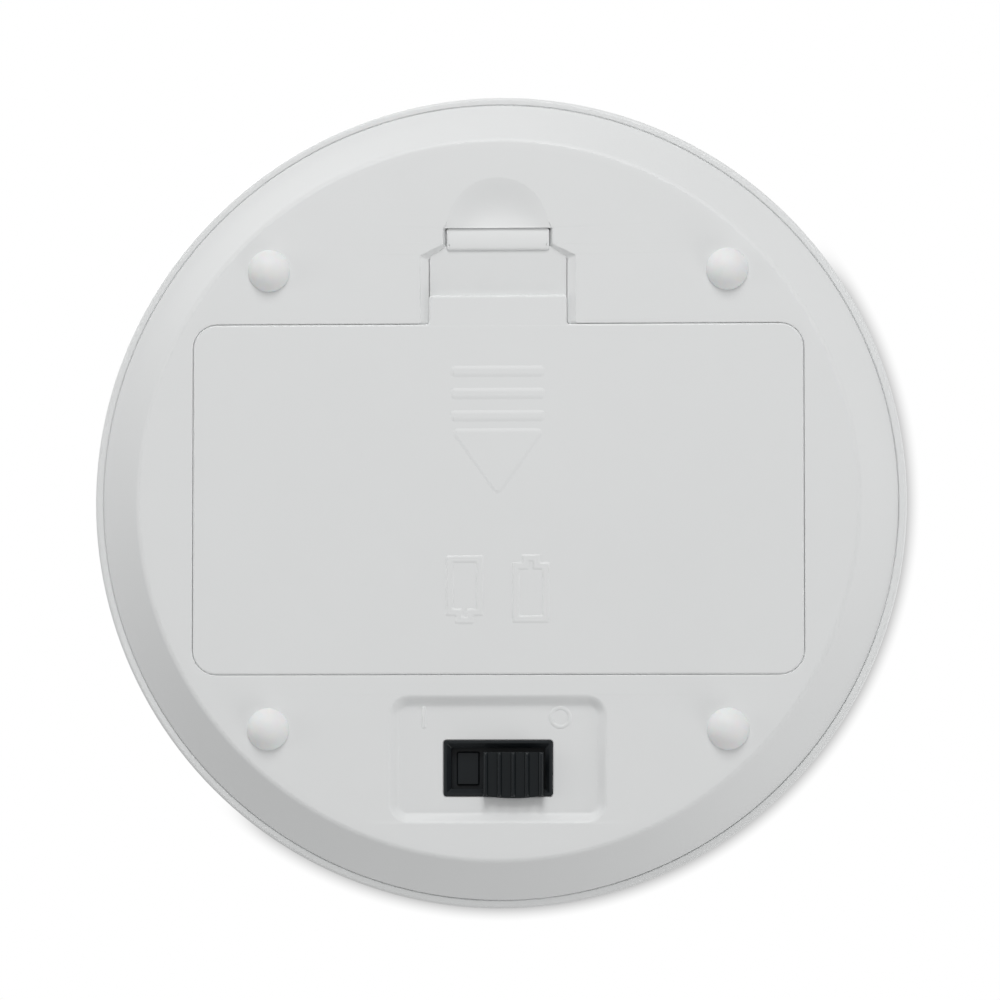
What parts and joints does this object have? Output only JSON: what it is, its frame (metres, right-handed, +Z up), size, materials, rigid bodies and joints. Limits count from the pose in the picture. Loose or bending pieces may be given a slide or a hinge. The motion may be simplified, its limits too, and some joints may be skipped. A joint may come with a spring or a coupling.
{
  "type": "compact round digital scale",
  "caption": "Compact round digital weighing scale with a glass platform, front display, domed feet, flush battery cover with spring latch and a slide switch underneath.",
  "frame": {"origin": "on the table, under the middle of the disc, at the tips of the feet", "axes": "+Z up through the weighing platform, -Y to the display edge and the cover's latch, +Y to the slide switch, +X to the user's right when the display faces them"},
  "size_m": [0.0814, 0.0814, 0.0324],
  "materials": {
    "shell_white": "fine matt moulded white",
    "silicone_white": "soft matt silicone",
    "cell_steel": "nickel-plated can",
    "cell_sleeve": "printed shrink sleeve",
    "nickel_plate": "nickel-plated spring steel",
    "switch_black": "black moulded, satin",
    "can_steel": "tinned sheet steel",
    "brass_pin": "tin-dulled brass",
    "phenolic_brown": "phenolic paper board",
    "beam_aluminium": "milled",
    "screw_steel": "zinc plated",
    "coating_white": "silicone potting",
    "tape_white": "white foam tape",
    "clear_glass": "tempered float glass, ground edge",
    "display_grey": "reflective liquid crystal panel",
    "frame_black": "black moulded",
    "rubber_grey": "layered contact rubber",
    "board_green": "solder-masked glass-fibre board",
    "epoxy_black": "epoxy drop",
    "part_dark": "sleeved capacitors and chip parts",
    "lead_red": "insulated stranded wire",
    "lead_black": "insulated stranded wire",
    "lead_yellow": "insulated stranded wire",
    "lead_blue": "insulated stranded wire"
  },
  "bodies": {
    "base": {"bottom_shell": "shell_white", "feet": "silicone_white", "battery_cells": "cell_steel", "battery_sleeves": "cell_sleeve", "bridge_contact": "nickel_plate", "positive_contact": "nickel_plate", "negative_contact": "nickel_plate", "contact_springs": "nickel_plate", "switch_frame": "switch_black", "switch_can": "can_steel", "switch_insulator": "phenolic_brown", "switch_pins": "brass_pin", "upper_housing": "shell_white", "load_cell": "beam_aluminium", "lower_spacer": "beam_aluminium", "lower_beam_screws": "screw_steel", "gauge_coating": "coating_white", "lcd_panel": "display_grey", "lcd_frame": "frame_black", "contact_rubber": "rubber_grey", "circuit_board": "board_green", "board_screws": "screw_steel", "chip_blob": "epoxy_black", "board_parts": "part_dark", "housing_screws": "screw_steel", "battery_lead_positive": "lead_red", "battery_lead_negative": "lead_black", "switch_lead": "lead_yellow", "load_cell_leads": "lead_blue"},
    "platform": {"platform_carrier": "shell_white", "mounting_tape": "tape_white", "glass_platform": "clear_glass", "upper_spacer": "beam_aluminium", "upper_beam_screws": "screw_steel"},
    "cover": {"battery_cover": "shell_white"},
    "latch": {"cover_latch": "shell_white"},
    "switch_slider": {"switch_knob": "switch_black", "switch_carriage": "switch_black", "switch_wiper": "brass_pin"}
  },
  "joints": [
    {"name": "platform_press", "type": "slide", "parent": "base", "child": "platform", "axis": [0, 0, -1], "range_m": [0, 0.0004], "stiffness_N_per_m": 25000, "deforming": ["load_cell"]},
    {"name": "cover_swing", "type": "hinge", "parent": "base", "child": "cover", "pos_m": [0, 0.0176, 0.0016], "axis": [1, 0, 0], "range_deg": [0, 60]},
    {"name": "latch_pull", "type": "slide", "parent": "cover", "child": "latch", "axis": [0, 1, 0], "range_m": [0, 0.0008], "stiffness_N_per_m": 1500},
    {"name": "switch_slide", "type": "slide", "parent": "base", "child": "switch_slider", "axis": [-1, 0, 0], "range_m": [0, 0.00325]}
  ]
}
